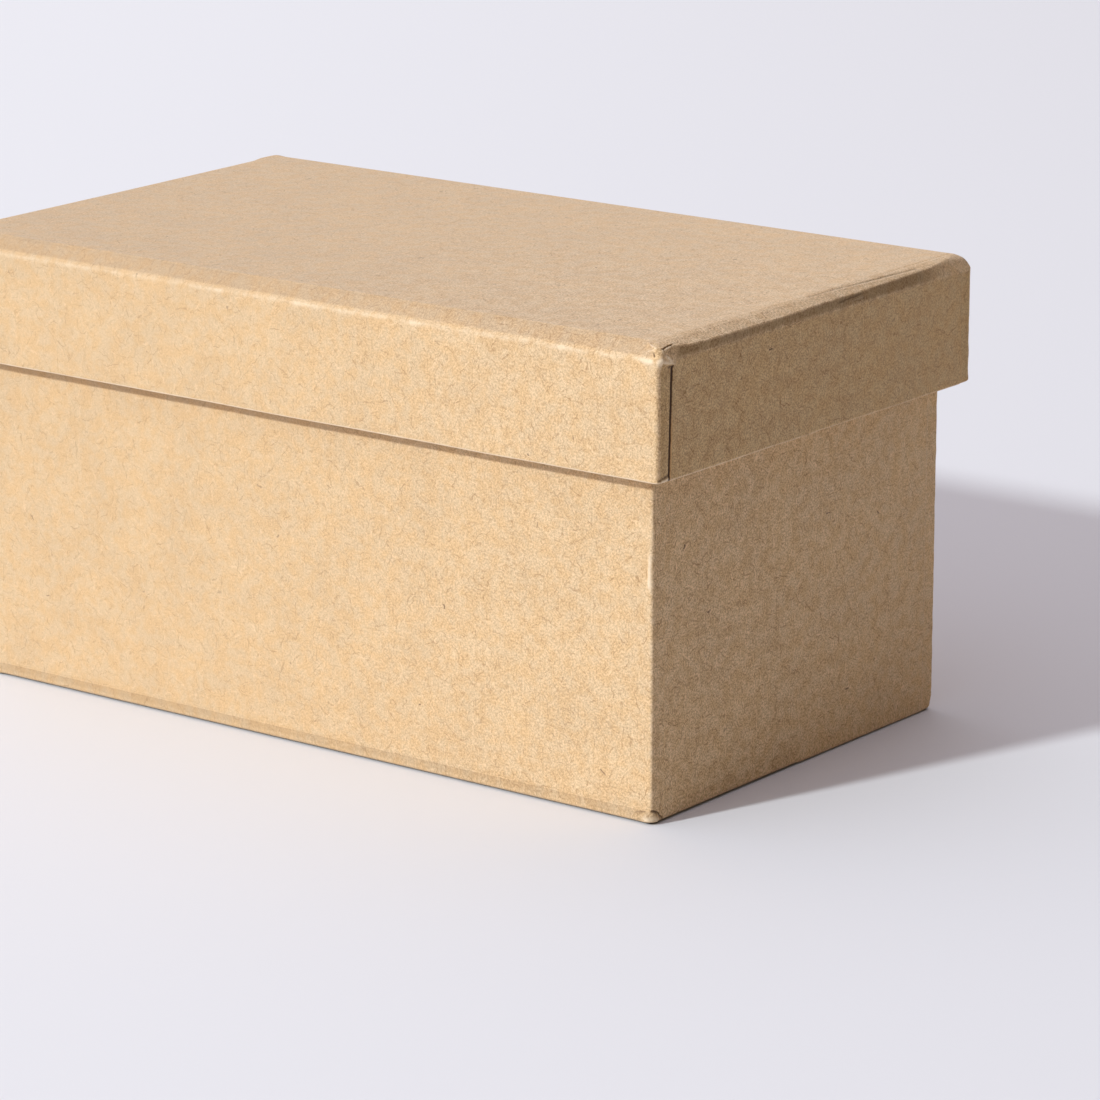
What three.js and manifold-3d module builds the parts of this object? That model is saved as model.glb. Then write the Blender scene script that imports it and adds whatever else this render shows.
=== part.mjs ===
// A rigid set-up box with a lift-off lid. Base and lid are each a tray folded from one scored
// chipboard blank, held at its corners by folded paper stays and covered with one sheet of kraft paper.
// Millimetres, +Z up. The origin lies on the table under the middle of the box,
// +X runs along its length and -Y faces its front.
import * as THREE from "three";
import { mergeVertices } from "three/addons/utils/BufferGeometryUtils.js";
import Module from "manifold-3d";

const wasm = await Module();
wasm.setup();

// Outside of the base, covered
const baseLength = 120;
const baseWidth = 67.6;
const baseHeight = 63.4;

// Lid: its height outside, the play round the base, and the play over the base's rim
const lidHeight = 18.3;
const lidPlay = 0.8;
const lidSeatPlay = 0.2;

// Chipboard blank: thickness, skin left uncut at a scored fold, play where two walls butt at a corner
const boardThickness = 2;
const scoreSkin = 0.4;
const cornerButtPlay = 0.15;

// Kraft paper cover and the film of glue under it
const paperThickness = 0.18;
const glueFilm = 0.03;

// Cover: paper turned in over the rim, and the ears that the long flaps fold round the corners
const baseTurnIn = 18;
const lidTurnIn = 12;
const earLength = 12;
const baseEarShown = 2.8; // ear left bare between the corner and the end flap's cut edge
const lidEarShown = 3.2;
const cornerCapReach = 0.9; // end flap's paper left above the bevel, over the foot of the ear

// Corner stays: folded strips of gummed tape, pressed into the board
const stayThickness = 0.12;
const stayLeg = 10.5;
const stayEndSetback = 1;

// The end flap lies over an ear, so the paper of a long side stands this far inside that of an end.
const paperStep = paperThickness + glueFilm;
const wallBuild = 2 * paperStep + boardThickness;

// Paper bridges the open score at a fold, which leaves a 45 degree bevel on the outside.
const bevelLeg = boardThickness + (2 - Math.SQRT2) * paperStep;
const bevelLegInside = bevelLeg - (2 - Math.SQRT2) * paperThickness;

const lidLength = baseLength + 2 * (lidPlay + wallBuild);
const lidWidth = baseWidth + 2 * (lidPlay + wallBuild);
const overallHeight = baseHeight + lidSeatPlay + boardThickness + paperStep;

const past = 1; // how far a cutting block reaches past the face that it cuts

const kraftPaper = new THREE.MeshStandardMaterial({ color: 0xd3ab77, roughness: 0.82, metalness: 0 });
const chipboard = new THREE.MeshStandardMaterial({ color: 0xa99a84, roughness: 0.9, metalness: 0 });
const gummedTape = new THREE.MeshStandardMaterial({ color: 0xb98d5c, roughness: 0.8, metalness: 0 });

// Solids for booleans, and back

function solidFrom(geometry) {
  const bare = geometry.clone();
  bare.deleteAttribute("normal");
  bare.deleteAttribute("uv");
  const merged = mergeVertices(bare);
  return new wasm.Manifold(
    new wasm.Mesh({
      numProp: 3,
      vertProperties: merged.attributes.position.array,
      triVerts: new Uint32Array(merged.index.array),
    }),
  );
}

function geometryFrom(solid) {
  const mesh = solid.getMesh();
  const geometry = new THREE.BufferGeometry();
  geometry.setAttribute("position", new THREE.BufferAttribute(mesh.vertProperties, 3));
  geometry.setIndex(new THREE.BufferAttribute(mesh.triVerts, 1));
  geometry.computeVertexNormals();
  return geometry;
}

function join(solids) {
  return solids.reduce((whole, solid) => whole.add(solid));
}

function cut(solid, cutters) {
  return cutters.reduce((left, cutter) => left.subtract(cutter), solid);
}

// A block between two corners; each pair of limits may come in either order.
function block([xA, xB], [yA, yB], [zA, zB]) {
  const geometry = new THREE.BoxGeometry(Math.abs(xB - xA), Math.abs(yB - yA), Math.abs(zB - zA));
  geometry.translate((xA + xB) / 2, (yA + yB) / 2, (zA + zB) / 2);
  return solidFrom(geometry);
}

function outline(points) {
  return new THREE.Shape(points.map(([across, up]) => new THREE.Vector2(across, up)));
}

// A section drawn in X and Z, run along Y over the whole span.
function runAlongY(points, span) {
  const geometry = new THREE.ExtrudeGeometry(outline(points), { depth: span, bevelEnabled: false });
  geometry.translate(0, 0, -span / 2);
  geometry.rotateX(Math.PI / 2);
  return solidFrom(geometry);
}

// The same section, drawn in Y and Z, run along X.
function runAlongX(points, span) {
  const geometry = new THREE.ExtrudeGeometry(outline(points), { depth: span, bevelEnabled: false });
  geometry.translate(0, 0, -span / 2);
  geometry.rotateX(Math.PI / 2);
  geometry.rotateZ(Math.PI / 2);
  return solidFrom(geometry);
}

// A block whose four lower edges are bevelled, mitred at the corners.
function bevelledBlock(length, width, [bottom, top], leg) {
  const section = (across) => [
    [-across / 2 + leg, bottom],
    [across / 2 - leg, bottom],
    [across / 2, bottom + leg],
    [across / 2, top],
    [-across / 2, top],
    [-across / 2, bottom + leg],
  ];
  const lengthways = runAlongY(section(length), width + 2 * past);
  const widthways = runAlongX(section(width), length + 2 * past);
  return lengthways.intersect(widthways);
}

const bothWays = [1, -1];
const corners = bothWays.flatMap((sideX) => bothWays.map((sideY) => [sideX, sideY]));

// Every piece of a tray is drawn with the panel down at z = 0 and the rim up.
// These are the planes that its pieces share, measured from the tray's middle.
function trayPlanes({ length, width, height, turnIn, earShown }) {
  const boardX = length / 2 - paperStep;
  const boardY = width / 2 - paperStep;
  const boardFoot = paperStep;
  const boardRim = height - paperStep;
  const earFace = length / 2 - paperStep;
  const earBack = earFace - paperThickness;
  const stayX = earBack - glueFilm;
  const wallFoot = boardFoot + boardThickness;
  return {
    paperX: length / 2,
    paperY: width / 2,
    height,
    turnIn,
    flapY: width / 2 - earShown,
    tailX: boardX - boardThickness - glueFilm,
    tailY: boardY - boardThickness - glueFilm,
    boardX,
    boardY,
    boardFoot,
    boardRim,
    insideX: boardX - boardThickness,
    insideY: boardY - boardThickness,
    wallFoot,
    earFace,
    earBack,
    earEnd: width / 2 - earLength,
    earFoot: bevelLeg + cornerCapReach,
    stayX,
    stayY: boardY,
    stayFoot: wallFoot + stayEndSetback,
    stayTop: boardRim - stayEndSetback,
    longWallEnd: stayX - stayThickness - glueFilm,
  };
}

// Chipboard blank: one panel and four walls, held together by the uncut skin of each score.
function boardGeometry(t) {
  const wallEndY = t.insideY - cornerButtPlay;
  const panel = block([-t.insideX, t.insideX], [-t.insideY, t.insideY], [t.boardFoot, t.wallFoot]);
  const upright = [t.wallFoot, t.boardRim];
  const longWalls = bothWays.map((side) =>
    block([-t.longWallEnd, t.longWallEnd], [side * t.insideY, side * t.boardY], upright),
  );
  const endWalls = bothWays.map((side) =>
    block([side * t.insideX, side * t.boardX], [-wallEndY, wallEndY], upright),
  );
  // The skin laps both boards at the fold and spans the open score between them.
  const skin = (inside, side) => {
    const points = [
      [inside - scoreSkin, t.wallFoot - scoreSkin],
      [inside, t.wallFoot - scoreSkin],
      [inside + scoreSkin, t.wallFoot],
      [inside + scoreSkin, t.wallFoot + scoreSkin],
      [inside, t.wallFoot + scoreSkin],
      [inside, t.wallFoot],
      [inside - scoreSkin, t.wallFoot],
    ].map(([across, up]) => [side * across, up]);
    return side > 0 ? points : points.reverse();
  };
  const longFolds = bothWays.map((side) => runAlongX(skin(t.insideY, side), 2 * t.insideX));
  const endFolds = bothWays.map((side) => runAlongY(skin(t.insideX, side), 2 * wallEndY));
  const board = join([panel, ...longWalls, ...endWalls, ...longFolds, ...endFolds]);
  return geometryFrom(cut(board, corners.flatMap((corner) => pressedSeats(t, corner))));
}

// Where a stay and an ear are pressed into the board at one corner, so that the cover lies flat.
function pressedSeats(t, [sideX, sideY]) {
  const stayTall = [t.stayFoot - glueFilm, t.stayTop + glueFilm];
  const earSeat = block(
    [sideX * (t.earBack - glueFilm), sideX * (t.boardX + past)],
    [sideY * (t.earEnd - glueFilm), sideY * (t.boardY + past)],
    [t.wallFoot - past, t.boardRim + past],
  );
  const endLegSeat = block(
    [sideX * t.longWallEnd, sideX * (t.boardX + past)],
    [sideY * (t.stayY - stayLeg - glueFilm), sideY * (t.boardY + past)],
    stayTall,
  );
  const longLegSeat = block(
    [sideX * (t.stayX - stayLeg - glueFilm), sideX * (t.boardX + past)],
    [sideY * (t.stayY - stayThickness - glueFilm), sideY * (t.boardY + past)],
    stayTall,
  );
  return [earSeat, endLegSeat, longLegSeat];
}

// Corner stay, drawn with its outer corner at the origin and its legs along -X and -Y.
function stayGeometry(t) {
  const folded = outline([
    [0, 0],
    [-stayLeg, 0],
    [-stayLeg, -stayThickness],
    [-stayThickness, -stayThickness],
    [-stayThickness, -stayLeg],
    [0, -stayLeg],
  ]);
  const tall = t.stayTop - t.stayFoot;
  const geometry = new THREE.ExtrudeGeometry(folded, { depth: tall, bevelEnabled: false });
  geometry.translate(0, 0, t.stayFoot);
  return geometry;
}

// Cover: one sheet with a panel, bevels, long flaps with ears, end flaps and edges turned in over the rim.
// It is what a bevelled block leaves when the board's room, the mouth and the end flaps' cuts are taken out.
function wrapGeometry(t) {
  const outside = bevelledBlock(2 * t.paperX, 2 * t.paperY, [0, t.height], bevelLeg);
  const underPaper = bevelledBlock(
    2 * (t.paperX - paperThickness),
    2 * (t.paperY - paperThickness),
    [paperThickness, t.height - paperThickness],
    bevelLegInside,
  );
  const turnedIn = block([-t.tailX, t.tailX], [-t.tailY, t.tailY], [t.height - t.turnIn, t.height]);
  const ears = corners.map(([sideX, sideY]) =>
    block(
      [sideX * t.earBack, sideX * t.earFace],
      [sideY * t.earEnd, sideY * t.paperY],
      [t.earFoot, t.height],
    ),
  );
  const mouth = block(
    [paperThickness - t.tailX, t.tailX - paperThickness],
    [paperThickness - t.tailY, t.tailY - paperThickness],
    [t.height - t.turnIn - past, t.height + past],
  );
  // Above its bevel an end flap is cut back from the corner, and shows the ear under it.
  const endFlapCuts = corners.map(([sideX, sideY]) =>
    block(
      [sideX * t.earFace, sideX * (t.paperX + past)],
      [sideY * t.flapY, sideY * (t.paperY + past)],
      [bevelLeg + cornerCapReach, t.height + past],
    ),
  );
  const boardRoom = cut(underPaper, [turnedIn, ...ears]);
  return geometryFrom(cut(outside, [boardRoom, mouth, ...endFlapCuts]));
}

function namedMesh(name, geometry, material) {
  const mesh = new THREE.Mesh(geometry, material);
  mesh.name = name;
  return mesh;
}

// One covered tray, panel down. The stays are named for the corners where they sit on the finished box,
// going round from the end and side that +X and +Y of this tray come to.
function tray(name, sizes, stayNames) {
  const t = trayPlanes(sizes);
  const group = new THREE.Group();
  group.add(namedMesh(`${name}_board`, boardGeometry(t), chipboard));
  group.add(namedMesh(`${name}_wrap`, wrapGeometry(t), kraftPaper));
  const round = [[1, 1], [-1, 1], [-1, -1], [1, -1]];
  round.forEach(([sideX, sideY], turn) => {
    const stay = namedMesh(`${name}_corner_stay_${stayNames[turn]}`, stayGeometry(t), gummedTape);
    stay.position.set(sideX * t.stayX, sideY * t.stayY, 0);
    stay.rotation.z = (turn * Math.PI) / 2;
    group.add(stay);
  });
  return group;
}

const base = tray(
  "base",
  {
    length: baseLength,
    width: baseWidth,
    height: baseHeight,
    turnIn: baseTurnIn,
    earShown: baseEarShown,
  },
  ["back_right", "back_left", "front_left", "front_right"],
);

// The lid is the same tray turned over about the box's length, so its +Y side comes to the front.
const lid = tray(
  "lid",
  {
    length: lidLength,
    width: lidWidth,
    height: lidHeight,
    turnIn: lidTurnIn,
    earShown: lidEarShown,
  },
  ["front_right", "front_left", "back_left", "back_right"],
);
lid.rotation.x = Math.PI;
lid.position.z = overallHeight;

const box = new THREE.Group();
box.add(base, lid);

export default box;
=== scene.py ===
import math
import random
from types import SimpleNamespace

import bpy
import numpy as np
from mathutils import Matrix, Vector, noise


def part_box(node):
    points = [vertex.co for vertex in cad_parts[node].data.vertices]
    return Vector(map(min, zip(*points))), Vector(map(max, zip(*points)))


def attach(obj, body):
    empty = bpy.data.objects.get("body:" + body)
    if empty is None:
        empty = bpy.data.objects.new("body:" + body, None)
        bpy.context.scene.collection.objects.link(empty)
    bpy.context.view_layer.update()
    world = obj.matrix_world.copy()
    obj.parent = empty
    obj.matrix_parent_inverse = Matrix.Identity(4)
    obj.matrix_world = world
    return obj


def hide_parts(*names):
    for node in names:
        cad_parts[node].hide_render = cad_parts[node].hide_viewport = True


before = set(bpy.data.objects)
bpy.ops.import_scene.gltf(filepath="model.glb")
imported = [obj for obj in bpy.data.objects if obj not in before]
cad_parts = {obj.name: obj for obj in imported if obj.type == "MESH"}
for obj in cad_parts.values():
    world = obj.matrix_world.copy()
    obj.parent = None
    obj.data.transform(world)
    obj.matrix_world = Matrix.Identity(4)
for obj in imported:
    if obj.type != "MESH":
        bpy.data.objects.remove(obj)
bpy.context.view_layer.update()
mm = 0.001
print("frame loaded:", ", ".join(sorted(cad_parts)))


# Node helpers
def feed(tree, socket, value):
    if isinstance(value, bpy.types.NodeSocket):
        tree.links.new(value, socket)
    else:
        socket.default_value = value


def addNode(tree, kind, settings, inputs):
    node = tree.nodes.new(kind)
    for name, value in settings.items():
        setattr(node, name, value)
    for name, value in inputs.items():
        feed(tree, node.inputs[name], value)
    return node


def addMath(tree, operation, *values):
    return addNode(tree, "ShaderNodeMath", {"operation": operation}, dict(enumerate(values))).outputs[0]


def times(tree, first, second):
    return addMath(tree, "MULTIPLY", first, second)


def addVector(tree, operation, *values):
    inputs = dict(enumerate(values))
    return addNode(tree, "ShaderNodeVectorMath", {"operation": operation}, inputs).outputs[0]


def scaleVector(tree, vector, factor):
    inputs = {0: vector, "Scale": factor}
    return addNode(tree, "ShaderNodeVectorMath", {"operation": "SCALE"}, inputs).outputs[0]


def dotProduct(tree, first, second):
    inputs = {0: first, 1: second}
    return addNode(tree, "ShaderNodeVectorMath", {"operation": "DOT_PRODUCT"}, inputs).outputs["Value"]


def splitVector(tree, vector):
    return addNode(tree, "ShaderNodeSeparateXYZ", {}, {"Vector": vector}).outputs


def joinVector(tree, x, y):
    return addNode(tree, "ShaderNodeCombineXYZ", {}, {"X": x, "Y": y}).outputs[0]


def remap(tree, value, fromMin, fromMax, toMin, toMax):
    settings = {"interpolation_type": "SMOOTHSTEP"}
    inputs = {"Value": value, "From Min": fromMin, "From Max": fromMax, "To Min": toMin, "To Max": toMax}
    return addNode(tree, "ShaderNodeMapRange", settings, inputs).outputs["Result"]


def mixColors(tree, blend, factor, first, second):
    settings = {"data_type": "RGBA", "blend_type": blend}
    return addNode(tree, "ShaderNodeMix", settings, {0: factor, 6: first, 7: second}).outputs[2]


def flatNoise(tree, place, scale, detail, roughness, output="Fac"):
    inputs = {"Vector": place, "Scale": scale, "Detail": detail, "Roughness": roughness}
    return addNode(tree, "ShaderNodeTexNoise", {"noise_dimensions": "2D"}, inputs).outputs[output]


vectorLabels = ("Place", "Position", "Normal")  # every other group socket is a number


def newGroup(name, inputs, outputs):
    group = bpy.data.node_groups.new(name, "ShaderNodeTree")
    for way, labels in (("INPUT", inputs), ("OUTPUT", outputs)):
        for label in labels:
            kind = "NodeSocketVector" if label in vectorLabels else "NodeSocketFloat"
            group.interface.new_socket(label, in_out=way, socket_type=kind)
    return group, group.nodes.new("NodeGroupInput").outputs, group.nodes.new("NodeGroupOutput").inputs


def placeGroup(tree, group, inputs):
    return addNode(tree, "ShaderNodeGroup", {"node_tree": group}, inputs).outputs


# One scatter of curved fibres: each Voronoi cell holds one, turned and bent by the cell's own random colour
fibreMake = {
    "inputs": ("Seed", "Cell", "Length", "Width", "Curl"),
    "sideFade": (0.2, 0.8),  # shares of the width
    "shortest": 0.15,  # half a fibre's length, as a share of the full length
    "lengthRange": 0.35,
    "endFade": 0.7,  # share of the half length
    "faintest": 0.3,
    "strengthMix": 7.3,  # makes the strength's chance from the turn's
}


def fibreScatter():
    make = fibreMake
    group, given, out = newGroup("fibreScatter", ("Place",) + make["inputs"], ["Mask"])
    cells = scaleVector(group, given["Place"], addMath(group, "DIVIDE", 1.0, given["Cell"]))
    cells = addVector(group, "ADD", cells, joinVector(group, given["Seed"], given["Seed"]))
    settings = {"voronoi_dimensions": "2D"}
    voronoi = addNode(group, "ShaderNodeTexVoronoi", settings, {"Vector": cells, "Scale": 1.0}).outputs
    local = addVector(group, "SUBTRACT", cells, voronoi["Position"])
    local = scaleVector(group, local, given["Cell"])
    chance = addNode(group, "ShaderNodeSeparateColor", {}, {"Color": voronoi["Color"]}).outputs
    turn = times(group, chance["Red"], 2 * math.pi)
    inputs = {"Vector": local, "Angle": turn}
    turned = addNode(group, "ShaderNodeVectorRotate", {"rotation_type": "Z_AXIS"}, inputs).outputs[0]
    along = splitVector(group, turned)
    bow = times(group, addMath(group, "SUBTRACT", chance["Green"], 0.5), given["Curl"])
    sag = times(group, bow, times(group, along["X"], along["X"]))
    aside = addMath(group, "ABSOLUTE", addMath(group, "SUBTRACT", along["Y"], sag))
    thin, wide = [times(group, given["Width"], share) for share in make["sideFade"]]
    across = remap(group, aside, thin, wide, 1.0, 0.0)
    share = addMath(group, "MULTIPLY_ADD", chance["Blue"], make["lengthRange"], make["shortest"])
    half = times(group, given["Length"], share)
    fade = times(group, half, make["endFade"])
    ends = remap(group, addMath(group, "ABSOLUTE", along["X"]), fade, half, 1.0, 0.0)
    strength = addMath(group, "FRACT", times(group, chance["Red"], make["strengthMix"]))
    strength = addMath(group, "MULTIPLY_ADD", strength, 1 - make["faintest"], make["faintest"])
    feed(group, out["Mask"], times(group, strength, times(group, across, ends)))
    return group


# Long thin strands: the contour line of a smooth noise, kept in lengths by a second noise
strandMake = {
    "inputs": ("Seed", "Scale", "Width"),
    "lineNoise": (1.0, 0.35),  # detail and roughness
    "lengthNoise": (0.0, 0.5),
    "core": 0.25,  # share of the width
    "secondPlace": (71.0, 13.0, 0.0),
    "kept": (0.5, 0.62),
}


def curlyStrands():
    make = strandMake
    group, given, out = newGroup("curlyStrands", ("Place",) + make["inputs"], ["Mask"])
    place = addVector(group, "ADD", given["Place"], joinVector(group, given["Seed"], given["Seed"]))
    wave = flatNoise(group, place, given["Scale"], *make["lineNoise"])
    away = addMath(group, "ABSOLUTE", addMath(group, "SUBTRACT", wave, 0.5))
    core = times(group, given["Width"], make["core"])
    line = remap(group, away, core, given["Width"], 1.0, 0.0)
    second = addVector(group, "ADD", place, make["secondPlace"])
    lengths = flatNoise(group, second, given["Scale"], *make["lengthNoise"])
    kept = remap(group, lengths, *make["kept"], 0.0, 1.0)
    feed(group, out["Mask"], times(group, line, kept))
    return group


# Everything seen in the sheet, in millimetres: fibres, specks, clouds and the fine tooth.
# Scattered fibres have their inputs and a strength, and so do the strands drawn after them.
sheetMake = {
    "warpScale": 0.8,
    "warpDepth": 1.1,
    "fibres": {
        "Dark": ([(3.1, 1.2, 1.2, 0.12, 1.8, 0.38), (7.7, 1.9, 1.9, 0.12, 1.3, 0.7),
                  (12.9, 2.7, 2.7, 0.12, 0.8, 0.85), (17.3, 3.7, 3.6, 0.12, 0.5, 0.8)],
                 [(5.3, 0.8, 0.018, 0.55), (41.7, 1.2, 0.024, 0.4)]),
        "Light": ([(23.5, 1.1, 1.1, 0.17, 1.4, 0.7), (29.1, 2.3, 2.4, 0.16, 0.9, 1.0)],
                  [(59.9, 1.0, 0.024, 0.7)]),
        "Speck": ([(37.3, 17.0, 1.1, 0.24, 0.5, 1.0)], []),
    },
    # Scale, detail and roughness
    "noises": {"Cloud": (0.12, 3.0, 0.55), "Tone": (0.45, 2.0, 0.55), "Tooth": (3.6, 2.0, 0.75)},
}


def paperFibres(scatter, strands):
    make = sheetMake
    group, given, out = newGroup("paperFibres", ["Place"], [*make["fibres"], *make["noises"]])
    place = given["Place"]
    warp = flatNoise(group, place, make["warpScale"], 2.0, 0.5, "Color")
    warp = addVector(group, "SUBTRACT", warp, (0.5, 0.5, 0.5))
    wavy = addVector(group, "ADD", place, scaleVector(group, warp, make["warpDepth"]))

    def addLayers(total, kind, where, labels, layers):
        for *values, strength in layers:
            inputs = {"Place": where, **dict(zip(labels, values))}
            mask = times(group, placeGroup(group, kind, inputs)["Mask"], strength)
            total = addMath(group, "MAXIMUM", total, mask)
        return total

    for name, (scattered, drawn) in make["fibres"].items():
        mask = addLayers(0.0, scatter, wavy, fibreMake["inputs"], scattered)
        feed(group, out[name], addLayers(mask, strands, place, strandMake["inputs"], drawn))
    for name, (scale, detail, roughness) in make["noises"].items():
        feed(group, out[name], flatNoise(group, place, scale, detail, roughness))
    return group


# Ragged edge for each mark of wear with painted highlight, painted shade and tint: the mesh's own value,
# broken up by noise along the folds
raggedMake = {
    "coarse": (0.45, 2.0, 0.6),  # scale, detail and roughness
    "fine": (3.0, 3.0, 0.7),
    "fineShare": 0.6,
    "mean": 0.8,
    "levels": (0.1, 0.9),
}


def raggedMark():
    make = raggedMake
    group, given, out = newGroup("raggedMark", ["Place", "Amount", "Raggedness"], ["Mask"])
    coarse = flatNoise(group, given["Place"], *make["coarse"])
    fine = flatNoise(group, given["Place"], *make["fine"])
    ragged = addMath(group, "MULTIPLY_ADD", fine, make["fineShare"], coarse)
    ragged = addMath(group, "SUBTRACT", ragged, make["mean"])
    level = addMath(group, "MULTIPLY_ADD", ragged, given["Raggedness"], given["Amount"])
    shown = remap(group, level, *make["levels"], 0.0, 1.0)
    feed(group, out["Mask"], times(group, given["Amount"], shown))
    return group


squareOn = 0.6  # part of a normal along an axis from which a face counts as square to it


# Flat coordinates in millimetres for a piece without a sheet layout: each face takes the axes it lies in
def facePlace():
    group, given, out = newGroup("facePlace", ["Position", "Normal"], ["Place"])
    where = splitVector(group, scaleVector(group, given["Position"], 1 / mm))
    facing = splitVector(group, given["Normal"])
    endOn = addMath(group, "GREATER_THAN", addMath(group, "ABSOLUTE", facing["X"]), squareOn)
    flat = addMath(group, "GREATER_THAN", addMath(group, "ABSOLUTE", facing["Z"]), squareOn)
    turn = addMath(group, "SUBTRACT", where["Y"], where["X"])
    first = addMath(group, "MULTIPLY_ADD", endOn, turn, where["X"])
    drop = addMath(group, "SUBTRACT", where["Y"], where["Z"])
    second = addMath(group, "MULTIPLY_ADD", flat, drop, where["Z"])
    feed(group, out["Place"], joinVector(group, first, second))
    return group


fibreGroup = paperFibres(fibreScatter(), curlyStrands())
raggedGroup = raggedMark()
placeOnFace = facePlace()
print("node groups built")


def newMaterial(name):
    material = bpy.data.materials.new(name)
    material.use_nodes = True
    return material, material.node_tree, material.node_tree.nodes["Principled BSDF"]


# What paper, board and tape share
noiseSpan = (0.25, 0.75)  # nearly all of a noise lies in it
toneSpan = (0.3, 0.7)
sheenRoughness = 0.35
fibreTones = (("Dark", "darkFibres", "darkColor"), ("Light", "lightFibres", "lightColor"),
              ("Speck", "specks", "speckColor"))


# Mottled and fibrous colour, with the noises that it was made from
def fibrousColor(tree, place, look, gain=1.0, fibreGain=1.0):
    found = placeGroup(tree, fibreGroup, {"Place": place})
    tone = remap(tree, found["Tone"], *toneSpan, 0.0, 1.0)
    color = mixColors(tree, "MIX", tone, look["color"], look["patchColor"])
    cloud = remap(tree, found["Cloud"], *noiseSpan, 1.0 - look["clouding"], 1.0 + look["clouding"])
    tooth = remap(tree, found["Tooth"], *noiseSpan, -look["tooth"], look["tooth"])
    color = scaleVector(tree, color, cloud)
    grain = scaleVector(tree, look["toothColor"], times(tree, tooth, gain))
    color = addVector(tree, "ADD", color, grain)
    for mask, strength, tint in fibreTones:
        factor = times(tree, found[mask], look[strength])
        factor = times(tree, factor, fibreGain)
        color = mixColors(tree, "MIX", factor, color, look[tint])
    return color, found


def finishSurface(tree, shader, color, found, look):
    feed(tree, shader.inputs["Base Color"], color)
    feed(tree, shader.inputs["Roughness"], remap(tree, found["Cloud"], *noiseSpan, *look["roughness"]))
    shader.inputs["Sheen Weight"].default_value = look["sheen"]
    shader.inputs["Sheen Roughness"].default_value = sheenRoughness
    bump = addNode(tree, "ShaderNodeBump", {}, {"Height": found["Tooth"], "Distance": look["bump"] * mm})
    feed(tree, shader.inputs["Normal"], bump.outputs["Normal"])


# Kraft paper of the covers
kraftLook = {
    "color": (0.598, 0.391, 0.199, 1.0),
    "patchColor": (0.588, 0.414, 0.238, 1.0),
    "clouding": 0.035,
    "mottling": 0.05,
    "tooth": 0.17,
    "toothColor": (0.598, 0.47, 0.30),
    "coarseTooth": 0.8,  # what coarse paper adds
    "coarseFibres": 0.4,
    "darkFibres": 0.70,
    "darkColor": (0.28, 0.145, 0.05, 1.0),
    "lightFibres": 0.45,
    "lightColor": (0.82, 0.58, 0.34, 1.0),
    "specks": 0.85,
    "speckColor": (0.13, 0.065, 0.03, 1.0),
    # Darker grey tint of the lid's top bevel
    "bevelDarkerTint": (0.785, 0.77, 0.785, 1.0),
    # Tint of the painted shade on the lid's ends
    "paintedEndShadeTint": (0.79, 0.75, 0.62, 1.0),
    "tintRaggedness": 0.35,
    # Colour of wear and of painted highlights
    "wearAndHighlightColor": (0.81, 0.645, 0.45, 1.0),
    "wearAndHighlightRaggedness": 0.7,
    # Near black colour of the painted shade in seams, creases and along the foot
    "paintedDeepShadeColor": (0.050, 0.017, 0.002, 1.0),
    "cutColor": (0.66, 0.36, 0.14, 1.0),
    "roughness": (0.68, 0.82),
    "bump": 0.025,
    "sheen": 0.28,
}


def kraftPaper():
    look = kraftLook
    material, tree, shader = newMaterial("kraftPaper")
    place = addNode(tree, "ShaderNodeUVMap", {"uv_map": "sheetPlace"}, {}).outputs["UV"]
    marks = {name: addNode(tree, "ShaderNodeAttribute", {"attribute_name": name}, {}).outputs["Fac"]
             for name in ("wear", "bevelDarker", "paintedEndShade", "paintedDeepShade", "cutEdge", "coarse")}

    def ragged(name, raggedness):
        inputs = {"Place": place, "Amount": marks[name], "Raggedness": raggedness}
        return placeGroup(tree, raggedGroup, inputs)["Mask"]

    gain = addMath(tree, "MULTIPLY_ADD", marks["coarse"], look["coarseTooth"], 1.0)
    fibreGain = addMath(tree, "MULTIPLY_ADD", marks["coarse"], look["coarseFibres"], 1.0)
    color, found = fibrousColor(tree, place, look, gain, fibreGain)
    mottle = remap(tree, found["Tone"], *toneSpan, -look["mottling"], look["mottling"])
    mottleGain = addMath(tree, "MAXIMUM", marks["coarse"], 0.0)
    color = scaleVector(tree, color, addMath(tree, "MULTIPLY_ADD", mottle, mottleGain, 1.0))
    for name, tint in (("bevelDarker", "bevelDarkerTint"), ("paintedEndShade", "paintedEndShadeTint")):
        color = mixColors(tree, "MULTIPLY", ragged(name, look["tintRaggedness"]), color, look[tint])
    # Wear and painted highlights on folds, ridges and edges
    color = mixColors(tree, "MIX", ragged("wear", look["wearAndHighlightRaggedness"]), color, look["wearAndHighlightColor"])
    color = mixColors(tree, "MIX", marks["cutEdge"], color, look["cutColor"])
    # Painted shade in the seam, creases, undercut and along the foot
    color = mixColors(tree, "MIX", marks["paintedDeepShade"], color, look["paintedDeepShadeColor"])
    finishSurface(tree, shader, color, found, look)
    return material


# Grey-brown chipboard of the trays
chipboardLook = {
    "color": (0.36, 0.285, 0.20, 1.0),
    "patchColor": (0.40, 0.33, 0.245, 1.0),
    "clouding": 0.10,
    "tooth": 0.20,
    "toothColor": (0.38, 0.31, 0.23),
    "darkFibres": 0.40,
    "darkColor": (0.16, 0.105, 0.06, 1.0),
    "lightFibres": 0.45,
    "lightColor": (0.58, 0.50, 0.40, 1.0),
    "specks": 0.85,
    "speckColor": (0.06, 0.05, 0.045, 1.0),
    "roughness": (0.84, 0.95),
    "bump": 0.03,
    "sheen": 0.05,
}
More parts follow.
